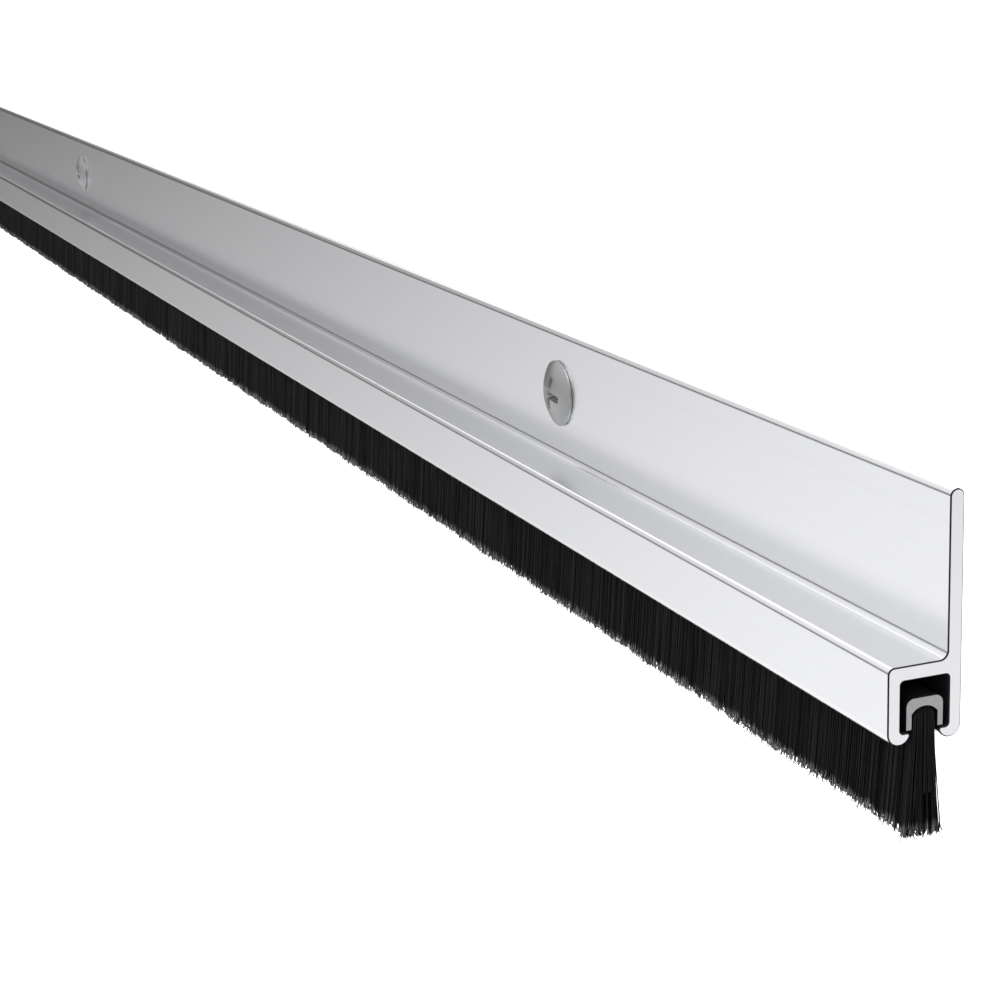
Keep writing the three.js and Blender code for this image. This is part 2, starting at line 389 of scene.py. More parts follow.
def anodised_aluminium(finishes, sizes):
    """Clear satin anodising with fine die lines and bare sawn ends; painted shade makes the
    channel's inside near-black, and a painted dark reflection darkens the chamfers of the sawn ends.
    """
    material, make = new_material("anodised_aluminium")
    place, x, y, z = make.object_place()
    facing = make.node("ShaderNodeNewGeometry")["Normal"]
    along = make.node("ShaderNodeSeparateXYZ", None, {0: facing})[0]
    rim = make.node("ShaderNodeAttribute", {"attribute_name": "rim"})["Fac"]
    sawn = abs(along).over(0.9) * (HALF_LENGTH - abs(x)).under(sizes.saw_edge)
    # Painted dark reflection: the chamfers round the sawn ends are painted near-black, standing in
    # for the dark they reflect.
    painted_edge_reflection = make.ramp(rim, (0.15, 0.0), (0.6, 1.0))
    # Painted shade: the faces inside the channel, picked out by place below, are painted near-black,
    # matt and not metallic in place of the shadow there.
    inside = (y.over(-DEPTH + sizes.wall - 0.02 * MM) * y.under(-sizes.wall + 0.02 * MM)
              * z.over(LIP_BOTTOM + sizes.lip - 0.02 * MM) * z.under(-sizes.ledge + 0.02 * MM)
              * (1 - sawn))
    die_lines = make.noise(make.stretched(place, (0.6, 2600, 2600)), 1.0, 3.0, 0.6)
    broad_lines = make.noise(make.stretched(place, (0.4, 420, 420)), 1.0, 2.0)
    grain = make.noise(place, 5200.0, 2.0)
    saw_marks = make.noise(make.stretched(place, (900, 700, 9000)), 1.0, 2.0)
    skin = make.mix(broad_lines * 0.04 + die_lines * 0.03, finishes.aluminium,
                    [0.6 * part for part in finishes.aluminium])
    ends = make.mix(saw_marks * 0.06, finishes.sawn, [0.7 * part for part in finishes.sawn])
    colour = make.mix(sawn, skin, ends)
    # Paints the dark reflection on the chamfers of the sawn ends.
    colour = make.mix(painted_edge_reflection, colour, (0.03, 0.03, 0.032))
    # Paints the shade inside the channel.
    colour = make.mix(inside, colour, finishes.channel)
    roughness = 0.19 + die_lines * 0.05 + grain * 0.03 + sawn * 0.12 + inside * 0.6
    height = die_lines * (1 - sawn) * 0.2 + grain * 0.2 + saw_marks * sawn * 2
    make.surface(Base_Color=colour, Metallic=1 - inside, Roughness=roughness,
                 Normal=make.bump(height, 0.002 * MM, 0.3))
    return material


def galvanised_sheet(finishes):
    """Zinc-coated strip, dull, with its sides painted near-black as shade, bare and grey where it
    was cut off.
    """
    material, make = new_material("galvanised_sheet")
    place = make.object_place()[0]
    facing = make.node("ShaderNodeNewGeometry")["Normal"]
    along = make.node("ShaderNodeSeparateXYZ", None, {0: facing})[0]
    rim = make.node("ShaderNodeAttribute", {"attribute_name": "rim"})["Fac"]
    cut = abs(along).over(0.9)
    spangle = make.node("ShaderNodeTexVoronoi", {"feature": "F1"},
                        {"Vector": make.stretched(place, (300, 900, 900)), "Scale": 1.0})["Color"]
    cloud = make.noise(place, 2400.0, 3.0)
    level = make.node("ShaderNodeSeparateColor", None, {0: spangle})[0]
    # Painted shade: the sides take the near-black that stands in for shadow, with spangle and cloud
    # marks over it.
    skin = make.mix(level * 0.6 + cloud * 0.4, finishes.holder_painted_shade,
                    [2.0 * part for part in finishes.holder_painted_shade])
    ends = make.mix(cloud, finishes.holder, [1.2 * part for part in finishes.holder])
    colour = make.mix(cut, skin, ends)
    # Painted highlight: the chamfer round the cut end is painted lighter than the cut face.
    colour = make.mix(rim * cut, colour, [1.6 * part for part in finishes.holder])
    make.surface(Base_Color=colour, Metallic=0.5, Roughness=0.5 + level * 0.15,
                 Normal=make.bump(cloud, 0.01 * MM, 0.4))
    return material


def drawn_wire(finishes):
    """Steel wire with lengthwise drawing marks."""
    material, make = new_material("drawn_wire")
    place = make.object_place()[0]
    marks = make.noise(make.stretched(place, (8, 6000, 6000)), 1.0, 2.0)
    colour = make.mix(marks * 0.4, finishes.wire, [0.6 * part for part in finishes.wire])
    make.surface(Base_Color=colour, Metallic=0.95, Roughness=0.3 + marks * 0.2,
                 Normal=make.bump(marks, 0.006 * MM, 0.5))
    return material


def black_nylon(finishes):
    """Black filaments, each a little different, whitened where they were cut."""
    material, make = new_material("black_nylon")
    along = make.node("ShaderNodeAttribute", {"attribute_name": "root_to_tip"})["Fac"]
    shade = make.node("ShaderNodeAttribute", {"attribute_name": "shade"})["Fac"]
    whitened = make.ramp(along + (shade - 0.5) * 0.06, (0.885, 0.0), (0.94, 0.7), (1.0, 1.0))
    body = make.mix(shade ** 2, finishes.nylon, [2.8 * part for part in finishes.nylon])
    tip = make.mix(shade, [0.08 * part for part in finishes.nylon_tip], finishes.nylon_tip)
    make.surface(Base_Color=make.mix(whitened, body, tip), Roughness=0.55 + whitened * 0.3,
                 Specular_IOR_Level=0.22)
    return material


def packed_nylon(finishes):
    """The folded bristles seen end on and along their flanks: fine upright streaks."""
    material, make = new_material("packed_nylon")
    place = make.object_place()[0]
    streaks = make.noise(make.stretched(place, (5200, 5200, 160)), 1.0, 3.0, 0.7)
    sharp = make.ramp(streaks, (0.45, 0.0), (0.75, 1.0))
    colour = make.mix(sharp, finishes.nylon, [2.2 * part for part in finishes.nylon])
    make.surface(Base_Color=colour, Roughness=0.6, Specular_IOR_Level=0.15,
                 Normal=make.bump(streaks, 0.12 * MM, 0.8))
    return material


def zinc_plate(finishes):
    """Bright plating over the turned and rolled marks of a screw."""
    material, make = new_material("zinc_plate")
    place = make.object_place()[0]
    cloud = make.noise(place, 700.0, 4.0, 0.6)
    pits = make.noise(place, 4500.0, 2.0)
    colour = make.mix(cloud * 0.4, finishes.zinc, [0.62 * part for part in finishes.zinc])
    make.surface(Base_Color=colour, Metallic=1.0, Roughness=0.36 + cloud * 0.12,
                 Normal=make.bump(pits, 0.012 * MM, 0.4))
    return material


# ---- mesh helpers ----

def arc(centre, radius, start, end, steps):
    """Points (y, z) along an arc, both ends included."""
    turns = (start + (end - start) * step / steps for step in range(steps + 1))
    return [(centre[0] + radius * math.cos(turn), centre[1] + radius * math.sin(turn))
            for turn in turns]


def tidy_loop(points):
    """Drops a point that repeats the one before it."""
    kept = []
    for point in points:
        if not kept or math.dist(point, kept[-1]) > 1e-7:
            kept.append(point)
    if math.dist(kept[0], kept[-1]) < 1e-7:
        kept.pop()
    return kept


def inset_loop(points, depth):
    """The closed outline moved inwards by depth; its solid lies on the left of its travel."""
    moved = []
    for i, (y, z) in enumerate(points):
        before, after = points[i - 1], points[(i + 1) % len(points)]
        first = Vector((y - before[0], z - before[1])).normalized()
        second = Vector((after[0] - y, after[1] - z)).normalized()
        inward = Vector((-first.y - second.y, first.x + second.x))
        reach = inward.length_squared / 2
        step = inward * (depth / max(reach, 0.5))
        moved.append((y + step.x, z + step.y))
    return moved


def new_object(name, bm, material, smooth_angle=30.0):
    """Turns a bmesh into a named object with clean normals."""
    mesh = bpy.data.meshes.new(name)
    bmesh.ops.recalc_face_normals(bm, faces=bm.faces)
    bm.to_mesh(mesh)
    bm.free()
    mesh.materials.append(material)
    mesh.shade_smooth()
    mesh.set_sharp_from_angle(angle=math.radians(smooth_angle))
    obj = bpy.data.objects.new(name, mesh)
    bpy.context.scene.collection.objects.link(obj)
    return obj


def bar_mesh(outlines, chamfer, short=0.0, stations=24):
    """A straight bar along X with the given closed outlines, its ends chamfered. The first outline
    is the outside and any others are holes. Each end stops short of the carrier's. The layer "rim"
    is 1 on the chamfer and fades out beside it."""
    bm = bmesh.new()
    rim = bm.verts.layers.float.new("rim")
    half = HALF_LENGTH - short
    body = half - 2 * chamfer
    middle = [(-body + 2 * body * k / stations, 0, 0) for k in range(stations + 1)]
    stops = [(half - chamfer, 0, 1), (half, chamfer, 1), (half, 1.8 * chamfer, 0)]
    before = [(-x, depth, mark) for x, depth, mark in reversed(stops)]
    caps = []
    for outline in outlines:
        grid = []
        for x, depth, mark in before + middle + stops:
            loop = inset_loop(outline, depth) if depth else outline
            ring = [bm.verts.new((x, y, z)) for y, z in loop]
            for vert in ring:
                vert[rim] = mark
            grid.append(ring)
        count = len(outline)
        for ring, following in zip(grid, grid[1:]):
            for i in range(count):
                j = (i + 1) % count
                bm.faces.new((ring[i], ring[j], following[j], following[i]))
        caps.append((grid[0], grid[-1]))
    for side in (0, 1):
        edges = []
        for pair in caps:
            loop = pair[side]
            edges += [bm.edges.get((loop[i], loop[(i + 1) % len(loop)])) for i in range(len(loop))]
        bmesh.ops.triangle_fill(bm, use_beauty=True, use_dissolve=False, edges=edges)
    return bm


def bake_modifiers(obj):
    """Leaves a plain mesh in place of one with modifiers."""
    depsgraph = bpy.context.evaluated_depsgraph_get()
    mesh = bpy.data.meshes.new_from_object(obj.evaluated_get(depsgraph))
    obj.modifiers.clear()
    old = obj.data
    obj.data = mesh
    bpy.data.meshes.remove(old)
    mesh.name = obj.name


def flatten_flats(obj, smooth_angle=30.0):
    """Lets the large faces keep their own normals, so that only the roundings look round."""
    obj.data.set_sharp_from_angle(angle=math.radians(smooth_angle))
    modifier = obj.modifiers.new("even", "WEIGHTED_NORMAL")
    modifier.mode = "FACE_AREA"
    modifier.weight = 100
    modifier.keep_sharp = True
    bake_modifiers(obj)


def cutter_object(name, bm):
    """A shape to be cut away, in the scene so that the cut can find it."""
    bmesh.ops.recalc_face_normals(bm, faces=bm.faces)
    mesh = bpy.data.meshes.new(name)
    bm.to_mesh(mesh)
    bm.free()
    cutter = bpy.data.objects.new(name, mesh)
    bpy.context.scene.collection.objects.link(cutter)
    return cutter


def apply_boolean(obj, cutter):
    """Cuts the cutter's shape from the object and removes the cutter."""
    modifier = obj.modifiers.new("cut", "BOOLEAN")
    modifier.object = cutter
    modifier.operation = "DIFFERENCE"
    modifier.solver = "EXACT"
    bake_modifiers(obj)
    unused = cutter.data
    bpy.data.objects.remove(cutter)
    bpy.data.meshes.remove(unused)


# ---- outlines ----

def carrier_outline(sizes, steps=14):
    """From the door face over the flange, along the ledge, round the front lip, through the hollow
    and round the back lip."""
    tip_radius, hollow_radius = 0.3 * MM, 0.45 * MM
    lip_centre = LIP_BOTTOM + sizes.lip_radius
    lip_top = LIP_BOTTOM + sizes.lip
    tip_centre = lip_top - tip_radius
    reach = sizes.lip_radius - tip_radius
    drop = lip_centre - tip_centre
    tip_angle = math.asin(drop / reach)
    tip_across = math.sqrt(reach ** 2 - drop ** 2)
    half_flange = sizes.flange / 2
    front = -DEPTH + sizes.lip_radius
    hollow_front = -DEPTH + sizes.wall + hollow_radius
    hollow_back = -sizes.wall - hollow_radius
    hollow_top = -sizes.ledge - hollow_radius
    hollow_bottom = lip_top + hollow_radius
    points = arc((-half_flange, FLANGE_TOP - half_flange), half_flange, 0, 2 * QUARTER, 2 * steps)
    points += arc((-sizes.flange - sizes.fillet, sizes.fillet), sizes.fillet, 0, -QUARTER, steps)
    points += arc((-DEPTH + sizes.edge, -sizes.edge), sizes.edge, QUARTER, 2 * QUARTER, steps)
    points += arc((front, lip_centre), sizes.lip_radius, 2 * QUARTER, 4 * QUARTER - tip_angle,
                  2 * steps)
    points += arc((front + tip_across, tip_centre), tip_radius, -tip_angle, QUARTER, steps)
    points += arc((hollow_front, hollow_bottom), hollow_radius, -QUARTER, -2 * QUARTER, steps)
    points += arc((hollow_front, hollow_top), hollow_radius, 2 * QUARTER, QUARTER, steps)
    points += arc((hollow_back, hollow_top), hollow_radius, QUARTER, 0, steps)
    points += arc((hollow_back, hollow_bottom), hollow_radius, 0, -QUARTER, steps)
    points += arc((-sizes.lip_radius - tip_across, tip_centre), tip_radius, QUARTER,
                  2 * QUARTER + tip_angle, steps)
    points += arc((-sizes.lip_radius, lip_centre), sizes.lip_radius, 2 * QUARTER + tip_angle,
                  4 * QUARTER, 2 * steps)
    return tidy_loop(points)


def arch_radius(half_span, rise):
    """The radius of an arch with this half span and rise."""
    return (half_span ** 2 + rise ** 2) / (2 * rise)


def holder_outline(sizes, steps=14):
    """The U of the brush holder with an arch inside, each edge slightly rounded."""
    half = (HOLDER_HIGH.y - HOLDER_LOW.y) / 2
    foot, top = HOLDER_LOW.z, HOLDER_HIGH.z
    corner, nip = 1.0 * MM, 0.1 * MM
    inside = half - sizes.holder_wall
    arch_top = top - sizes.holder_crown
    radius = arch_radius(inside, sizes.arch_rise)
    spring = math.acos(inside / radius)
    points = arc((MIDDLE + half - nip, foot + nip), nip, -QUARTER, 0, 4)
    points += arc((MIDDLE + half - corner, top - corner), corner, 0, QUARTER, steps)
    points += arc((MIDDLE - half + corner, top - corner), corner, QUARTER, 2 * QUARTER, steps)
    points += arc((MIDDLE - half + nip, foot + nip), nip, 2 * QUARTER, 3 * QUARTER, 4)
    points += arc((MIDDLE - inside - nip, foot + nip), nip, -QUARTER, 0, 4)
    points += arc((MIDDLE, arch_top - radius), radius, 2 * QUARTER - spring, spring, 2 * steps)
    points += arc((MIDDLE + inside + nip, foot + nip), nip, 2 * QUARTER, 3 * QUARTER, 4)
    return tidy_loop(points)


def fold_outlines(sizes, steps=14):
    """The bristles folded over the core wire, with the hole that the wire fills."""
    clear = 0.1 * MM
    half = (HOLDER_HIGH.y - HOLDER_LOW.y) / 2 - sizes.holder_wall - clear
    top = HOLDER_HIGH.z - sizes.holder_crown - clear
    radius = arch_radius(half, sizes.arch_rise)
    spring = math.acos(half / radius)
    foot = FLEX_LINE + 1.2 * MM
    outside = arc((MIDDLE, top - radius), radius, spring, 2 * QUARTER - spring, 2 * steps)
    outside += [(MIDDLE - half, foot), (MIDDLE + half, foot)]
    wire = Vector(((WIRE_LOW.y + WIRE_HIGH.y) / 2, (WIRE_LOW.z + WIRE_HIGH.z) / 2))
    hole = arc(wire, (WIRE_HIGH.z - WIRE_LOW.z) / 2 + clear, 0, -4 * QUARTER, 2 * steps)
    return [tidy_loop(outside), tidy_loop(hole)]


# ---- pieces ----

def slot_cutter(x, z, sizes):
    """A stadium-shaped prism through the flange."""
    straight = (sizes.slot_length - sizes.slot_width) / 2
    radius = sizes.slot_width / 2
    outline = arc((x, z + straight), radius, 0, 2 * QUARTER, 24)
    outline += arc((x, z - straight), radius, 2 * QUARTER, 4 * QUARTER, 24)
    bm = bmesh.new()
    back = [bm.verts.new((u, sizes.flange, v)) for u, v in outline]
    front = [bm.verts.new((u, -2 * sizes.flange, v)) for u, v in outline]
    bm.faces.new(back)
    bm.faces.new(front[::-1])
    for i in range(len(outline)):
        j = (i + 1) % len(outline)
        bm.faces.new((back[j], back[i], front[i], front[j]))
    return cutter_object("slot", bm)


def screw_place(name):
    """The middle of a screw's head, on its line."""
    low, high = (Vector(corner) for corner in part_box(name))
    return (low + high) / 2


def make_carrier(sizes, finishes):
    bm = bar_mesh([carrier_outline(sizes)], sizes.saw_edge)
    material = anodised_aluminium(finishes, sizes)
    carrier = new_object("carrier", bm, material)
    for name in SCREW_NAMES:
        place = screw_place(name)
        apply_boolean(carrier, slot_cutter(place.x, place.z, sizes))
    flatten_flats(carrier)
    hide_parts("carrier_extrusion")
    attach(carrier, "carrier")


def make_holder(sizes, finishes):
    bm = bar_mesh([holder_outline(sizes)], 0.06 * MM)
    holder = new_object("holder", bm, galvanised_sheet(finishes), 40.0)
    flatten_flats(holder, 40.0)
    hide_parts("brush_holder")
    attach(holder, "brush_insert")


def make_core_wire(finishes):
    centre = ((WIRE_LOW.y + WIRE_HIGH.y) / 2, (WIRE_LOW.z + WIRE_HIGH.z) / 2)
    radius = (WIRE_HIGH.z - WIRE_LOW.z) / 2
    outline = tidy_loop(arc(centre, radius, 0, 4 * QUARTER, 32))
    wire = new_object("wire", bar_mesh([outline], 0.08 * MM, 0.5 * MM), drawn_wire(finishes))
    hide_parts("core_wire")
    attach(wire, "brush_insert")


def pack_half(sizes, z):
    """Half the thickness of the pack at height z: straight in the throat, then fanning out."""
    throat = FLEX_LINE + 1.0 * MM
    below = np.clip((throat - z) / (throat - CURTAIN_LOW.z), 0, 1)
    return (sizes.pack + (sizes.fan - sizes.pack) * below ** 1.2) / 2


def filament_lines(sizes, rng, first_x, last_x, across, pitch, stations, top_z):
    """The middle lines of one row of filaments between two places along the bar: an array of
    filament, station and place, how far down each station lies, and each filament's shade. The row
    stands at a share of the pack's half thickness and starts at top_z. Near the cut ends, an outer
    row starts under the arch instead."""
    columns = int((last_x - first_x) / pitch)
    x = first_x + (np.arange(columns) + rng.uniform(0, 1, columns)) * pitch
    across = np.clip(across + rng.uniform(-0.09, 0.09, columns), -1, 1)
    end = np.clip(1 - (HALF_LENGTH - np.abs(x)) / LOOSE_END, 0, 1)
    clear, sag = 0.3 * MM, 0.75 * MM
    arch = HOLDER_HIGH.z - sizes.holder_crown - clear - sag * across ** 2
    root_z = np.where((end > 0) & (len(stations) > len(INNER_STATIONS)), arch, top_z)
    wave = np.sin(x / (5.3 * MM)) + np.sin(x / (1.9 * MM) + 1.3) + np.sin(x / (0.83 * MM))
    cut = sizes.ragged * (0.2 * wave + rng.normal(0, 0.36, columns))
    tip_z = CURTAIN_LOW.z + 0.25 * MM - 0.35 * MM * end + np.clip(cut, -0.5 * MM, 0.8 * MM)
    t = np.asarray(stations)[None, :]
    z = root_z[:, None] + (tip_z - root_z)[:, None] * t
    below = np.clip((FLEX_LINE - z) / (FLEX_LINE - CURTAIN_LOW.z), 0, 1)
    y = MIDDLE + across[:, None] * (pack_half(sizes, z) - sizes.filament / 2)
    y = y + rng.normal(0, 0.04 * MM, columns)[:, None] * below
    lean = rng.normal(0, 0.06 * MM, columns)
    lean = lean + np.sign(x) * end * rng.uniform(-0.5, 0.7, columns) * MM
    crimp = rng.uniform(0.005, 0.025, columns)[:, None] * MM
    phase = rng.uniform(0, 2 * np.pi, columns)[:, None]
    kink, curl = (t > 0.95) * 1.0, (t > 0.98) * 1.0
    y = y + crimp * np.sin(phase + t * 9) + rng.normal(0, 0.12 * MM, columns)[:, None] * kink
    y = y + rng.normal(0, 0.16 * MM, columns)[:, None] * curl
    x = x[:, None] + lean[:, None] * below ** 1.5 + crimp * np.cos(phase + t * 8)
    x = x + rng.normal(0, 0.2 * MM, columns)[:, None] * kink
    x = x + rng.normal(0, 0.28 * MM, columns)[:, None] * curl
    depth = (ROOT_TOP - z) / (ROOT_TOP - CURTAIN_LOW.z)
    return np.stack([x, y, z], -1), depth, rng.uniform(0, 1, columns)


def filament_mesh(name, lines, along, shade, thickness, rng):
    """Three-sided filaments round the given lines, tapered at the tip, as one mesh."""
    count, stations = lines.shape[:2]
    turn = rng.uniform(0, 2 * np.pi, count)
    corner = turn[:, None] + np.arange(3) * 2 * np.pi / 3
    ring = np.stack([np.cos(corner), np.sin(corner), np.zeros_like(corner)], -1) * thickness / 2
    width = np.ones(stations)
    width[-1] = 0.9
    points = lines[:, :, None, :] + ring[:, None, :, :] * width[None, :, None, None]
    points = points.reshape(-1, 3)
    points[:, 0] = np.clip(points[:, 0], -HALF_LENGTH, HALF_LENGTH)
    points[:, 2] = np.maximum(points[:, 2], CURTAIN_LOW.z - STRAY)
    base = (np.arange(count) * stations * 3)[:, None, None]
    level = (np.arange(stations - 1) * 3)[None, :, None]
    side = np.arange(3)[None, None, :]
    after = (side + 1) % 3
    quads = np.stack([base + level + side, base + level + after, base + level + 3 + after,
                      base + level + 3 + side], -1).reshape(-1, 4)
    first = base[:, 0, 0]
    last = first + (stations - 1) * 3
    caps = np.concatenate([np.stack([first + 2, first + 1, first], -1),
                           np.stack([last, last + 1, last + 2], -1)])
    mesh = bpy.data.meshes.new(name)
    mesh.vertices.add(len(points))
    mesh.vertices.foreach_set("co", points.astype(np.float32).ravel())
    corners = np.concatenate([quads.ravel(), caps.ravel()]).astype(np.int32)
    mesh.loops.add(len(corners))
    mesh.loops.foreach_set("vertex_index", corners)
    sizes_of = np.concatenate([np.full(len(quads), 4), np.full(len(caps), 3)])
    starts = np.concatenate([[0], np.cumsum(sizes_of)[:-1]]).astype(np.int32)
    mesh.polygons.add(len(starts))
    mesh.polygons.foreach_set("loop_start", starts)
    mesh.update(calc_edges=True)
    mesh.validate()
    for attribute, values in (("root_to_tip", np.repeat(along.ravel(), 3)),
                              ("shade", np.repeat(shade, stations * 3))):
        layer = mesh.attributes.new(attribute, "FLOAT", "POINT")
        layer.data.foreach_set("value", values.astype(np.float32))
    mesh.shade_smooth()
    return mesh


def core_mesh(sizes, rng, first_x, last_x):
    """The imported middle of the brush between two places, as a block whose faces are ribbed by the
    filaments in it and whose foot is uneven."""
    ribs = 0.3 * MM
    columns = int((last_x - first_x) / ribs) + 1
    x = np.linspace(first_x, last_x, columns)
    levels = np.linspace(FLEX_LINE + 1.5 * MM, CURTAIN_LOW.z + 0.9 * MM, 6)
    sides = []
    for side in (-1, 1):
        for z in (levels if side < 0 else levels[::-1]):
            half = pack_half(sizes, z) - 0.2 * MM
            y = MIDDLE + side * (half - 0.06 * MM * rng.uniform(0, 1, columns))
            foot = rng.uniform(0, 0.3 * MM, columns) * (z < CURTAIN_LOW.z + MM)
            sides.append(np.stack([x, y, z + foot], -1))
    points = np.stack(sides, 1)
    around = points.shape[1]
    column = np.arange(columns - 1)[:, None] * around
    ring = np.arange(around)[None, :]
    after = (ring + 1) % around
    quads = np.stack([column + ring, column + after, column + around + after,
                      column + around + ring], -1).reshape(-1, 4)
    faces = quads.tolist()
    faces += [list(range(around))[::-1], [(columns - 1) * around + k for k in range(around)]]
    mesh = bpy.data.meshes.new("core")
    mesh.from_pydata(points.reshape(-1, 3).tolist(), [], faces)
    return mesh


def joined_lines(rows):
    """Rows of filaments with the same stations as one."""
    return [np.concatenate(part) for part in zip(*rows)]


def add_tufts(name, mesh, material):
    tufts = bpy.data.objects.new(name, mesh)
    mesh.materials.append(material)
    bpy.context.scene.collection.objects.link(tufts)
    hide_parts("bristle_curtain")
    start = (0, MIDDLE, FLEX_LINE + 1.0 * MM)
    end = (0, MIDDLE, FLEX_LINE - 4.0 * MM)
    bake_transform(tufts)


def make_bristles(sizes, finishes):
    fold = new_object("bristle_fold", bar_mesh(fold_outlines(sizes), 0.05 * MM, 0.4 * MM),
                      packed_nylon(finishes))
    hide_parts("bristle_roots")
    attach(fold, "brush_insert")
    nylon, packed = black_nylon(finishes), packed_nylon(finishes)
    rng = np.random.default_rng(8)
    parts = ("left", "mid_left", "mid_right", "right")
    bounds = np.linspace(-HALF_LENGTH, HALF_LENGTH, len(parts) + 1)
    inner_top = CURTAIN_LOW.z + INNER_REACH
    for part, first_x, last_x in zip(parts, bounds, bounds[1:]):
        if first_x < 0:
            tuft = (first_x, first_x + TUFT_LENGTH)
        else:
            tuft = (last_x - TUFT_LENGTH, last_x)
        outer = [filament_lines(sizes, rng, first_x, last_x, across, sizes.outer_pitch,
                                OUTER_STATIONS, ROOT_TOP) for across in (-1, -0.86, 0.86, 1)]
        inner = [filament_lines(sizes, rng, first_x, last_x, across, sizes.inner_pitch,
                                INNER_STATIONS, inner_top) for across in np.linspace(-0.7, 0.7, 7)]
        if HALF_LENGTH - max(abs(first_x), abs(last_x)) < MM:
            outer += [filament_lines(sizes, rng, *tuft, across, TUFT_PITCH,
                                     OUTER_STATIONS, ROOT_TOP)
                      for across in np.linspace(-0.9, 0.9, 11)]
        add_tufts("bristles_outer_" + part,
                  filament_mesh("outer", *joined_lines(outer), sizes.filament, rng), nylon)
        add_tufts("bristles_inner_" + part,
                  filament_mesh("inner", *joined_lines(inner), sizes.filament * 1.3, rng), nylon)
        add_tufts("bristles_core_" + part,
                  core_mesh(sizes, rng, max(first_x, 0.4 * MM - HALF_LENGTH),
                            min(last_x, HALF_LENGTH - 0.4 * MM)), packed)


def head_rings(head_radius, crown_y, seat):
    """Radius and place of each ring of the head, from near its crown to the neck: a low dome, a
    thin rim and the flat face that clamps."""
    dome = arch_radius(head_radius, seat - crown_y - HEAD_RIM)
    edge = math.acos(head_radius / dome)
    turns = [QUARTER + (edge - QUARTER) * step / 24 for step in range(1, 25)]
    rings = [(dome * math.cos(turn), crown_y + dome - dome * math.sin(turn)) for turn in turns]
    rings += [(head_radius, seat - HEAD_RIM + HEAD_BEVEL), (head_radius, seat - HEAD_BEVEL),
              (head_radius - HEAD_BEVEL, seat)]
    return rings + [(head_radius * share, seat) for share in (0.8, 0.62, 0.48)]


def screw_mesh(sizes, name):
    """One closed skin from the head's crown to the point, in the screw's own frame: the head rises
    along -Y from the face that it clamps, and each row of the thread climbs one pitch in a turn."""
    low, high = (Vector(corner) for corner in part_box(name))
    seat = low.y + HEAD_HEIGHT
    length = high.y - seat
    pitch, sides = sizes.thread_pitch, 64
    thread = ((0.0, 0), (0.28, 0), (0.46, 1), (0.54, 1), (0.72, 0))
    bm = bmesh.new()

    def vertex(radius, y, side):
        turn = 4 * QUARTER * side / sides
        return bm.verts.new((radius * math.cos(turn), y, radius * math.sin(turn)))

    crown = bm.verts.new((0, low.y, 0))
    head = [[vertex(radius, y, side) for side in range(sides)]
            for radius, y in head_rings((high.x - low.x) / 2, low.y, seat)]
    shank = []
    for turn in range(int(length / pitch) + 3):
        for share, ridge in thread:
            row = []
            for side in range(sides):
                along = min(max((turn + share + side / sides - 1) * pitch, 0.0), length)
                height = (THREAD_RADIUS - ROOT_RADIUS) * ridge * min(1.0, along / RUN_IN)
                taper = min(1.0, (length - along) / POINT_LENGTH)
                row.append(vertex((ROOT_RADIUS + height) * taper, seat + along, side))
            shank.append(row)
    for side in range(sides):
        after = (side + 1) % sides
        bm.faces.new((crown, head[0][side], head[0][after]))
        for ring, following in zip(head + shank[:1], head[1:] + shank[:1]):
            if ring is not following:
                bm.faces.new((ring[side], following[side], following[after], ring[after]))
        climb = 0 if after else len(thread)
        for k in range(len(shank) - 1 - climb):
            bm.faces.new((shank[k][side], shank[k + 1][side], shank[k + 1 + climb][after],
                          shank[k + climb][after]))
    bmesh.ops.remove_doubles(bm, verts=bm.verts, dist=1e-7)
    return bm, low.y


def recess_cutters(sizes, crown_y, turn):
    """Two tapered arms and a pyramid between them, as separate solids. Each has a half length and a
    half width, first at its mouth above the crown and then at its floor."""
    above = 0.6 * MM
    span = sizes.recess_span / 2
    arm = ((span * 1.7, 0.72 * MM), (span * 0.3, 0.34 * MM))
    hub = ((1.15 * MM, 1.15 * MM), (0.5 * MM, 0.5 * MM))
    cutters = []
    for (mouth, floor), angle in ((arm, turn), (arm, turn + QUARTER), (hub, turn + QUARTER / 2)):
        bm = bmesh.new()
        for level, (half_x, half_z) in ((crown_y - above, mouth), (crown_y + RECESS_DEPTH, floor)):
            for side_x, side_z in ((-1, -1), (1, -1), (1, 1), (-1, 1)):
                corner = Vector((side_x * half_x, level, side_z * half_z))
                bm.verts.new(Matrix.Rotation(angle, 3, "Y") @ corner)
        bmesh.ops.convex_hull(bm, input=bm.verts)
        cutters.append(cutter_object("recess", bm))
    return cutters


def make_screws(sizes, finishes):
    plate = zinc_plate(finishes)
    turns = {"screw_left": 0.9, "screw_centre": 0.5, "screw_right": 0.21}
    for name in SCREW_NAMES:
        place = screw_place(name)
        bm, crown_y = screw_mesh(sizes, name)
        screw = new_object("cross_" + name, bm, plate, 35.0)
        for cutter in recess_cutters(sizes, crown_y, turns[name]):
            apply_boolean(screw, cutter)
        screw.data.transform(Matrix.Translation((place.x, 0, place.z)))
        screw.data.set_sharp_from_angle(angle=math.radians(35))
        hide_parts(name)
        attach(screw, "mounting_screws")


# ---- studio ----

def make_camera(studio):
    data = bpy.data.cameras.new("camera")
    data.lens = studio.lens
    data.sensor_width = 36.0
    data.clip_start, data.clip_end = 0.01, 50.0
    camera = bpy.data.objects.new("camera", data)
    bpy.context.scene.collection.objects.link(camera)
    flat = math.cos(studio.elevation)
    forward = Vector((-math.sin(studio.azimuth) * flat, math.cos(studio.azimuth) * flat,
                      -math.sin(studio.elevation)))
    level = forward.to_track_quat("-Z", "Y").to_matrix()
    rolled = level @ Matrix.Rotation(studio.roll, 3, "Z")
    camera.matrix_world = rolled.to_4x4()
    camera.location = Vector((HALF_LENGTH, 0, 0)) + Vector(studio.place)
    bpy.context.scene.camera = camera


